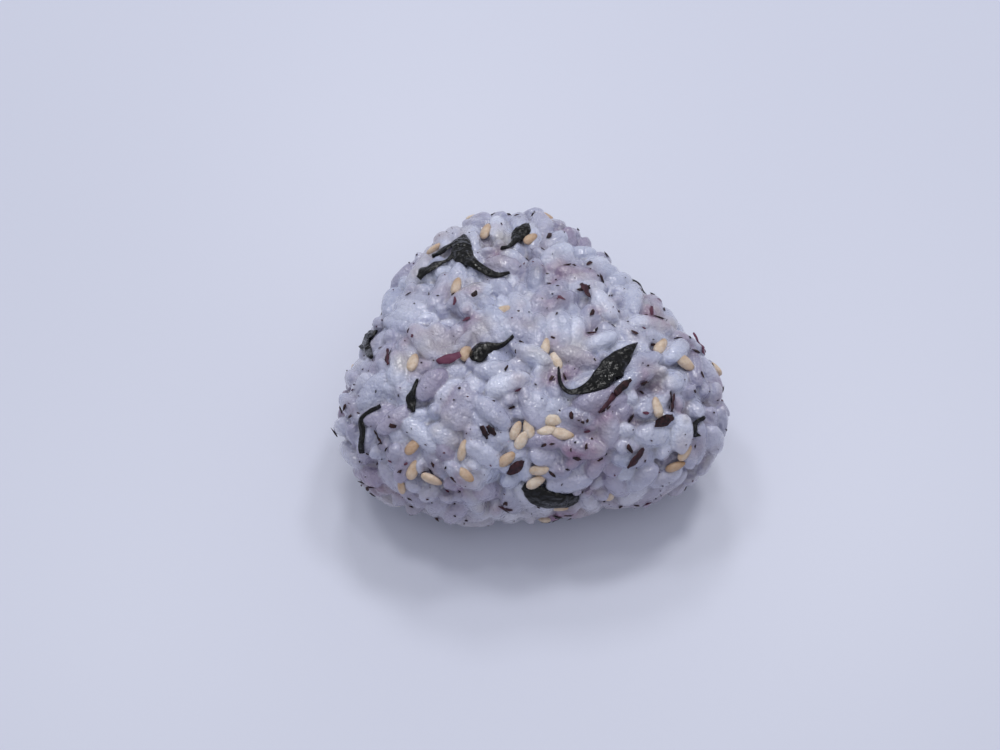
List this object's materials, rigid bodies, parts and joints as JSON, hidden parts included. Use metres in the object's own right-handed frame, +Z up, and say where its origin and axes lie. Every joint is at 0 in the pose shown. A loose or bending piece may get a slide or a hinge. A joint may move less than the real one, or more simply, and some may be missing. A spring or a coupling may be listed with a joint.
{
  "type": "onigiri rice ball",
  "caption": "Rounded triangular ball of pressed short-grain rice with sesame seeds and black seaweed pieces, lying on its flat face.",
  "frame": {"origin": "middle of the base of the whole ball's box, on the surface that it lies on", "axes": "+Z up out of the broad upper face, +Y towards the apex, -Y out of the straight front side, +X to the right seen from the front"},
  "size_m": [0.0618, 0.0546, 0.0303],
  "materials": {
    "rice": "moist cooked rice, translucent, faintly lilac",
    "seaweed": "wet, wrinkled, near black"
  },
  "bodies": {
    "root": {"rice_ball": "rice", "seaweed_fork": "seaweed", "seaweed_top_leaf": "seaweed", "seaweed_right_leaf": "seaweed", "seaweed_middle_leaf": "seaweed", "seaweed_left_curl": "seaweed", "seaweed_left_leaf": "seaweed", "seaweed_left_strip": "seaweed", "seaweed_front_leaf": "seaweed", "seaweed_corner_hook": "seaweed", "seaweed_far_right_leaf": "seaweed", "seaweed_far_right_strip": "seaweed", "seaweed_far_left_leaf": "seaweed", "seaweed_far_left_strip": "seaweed"}
  },
  "joints": []
}
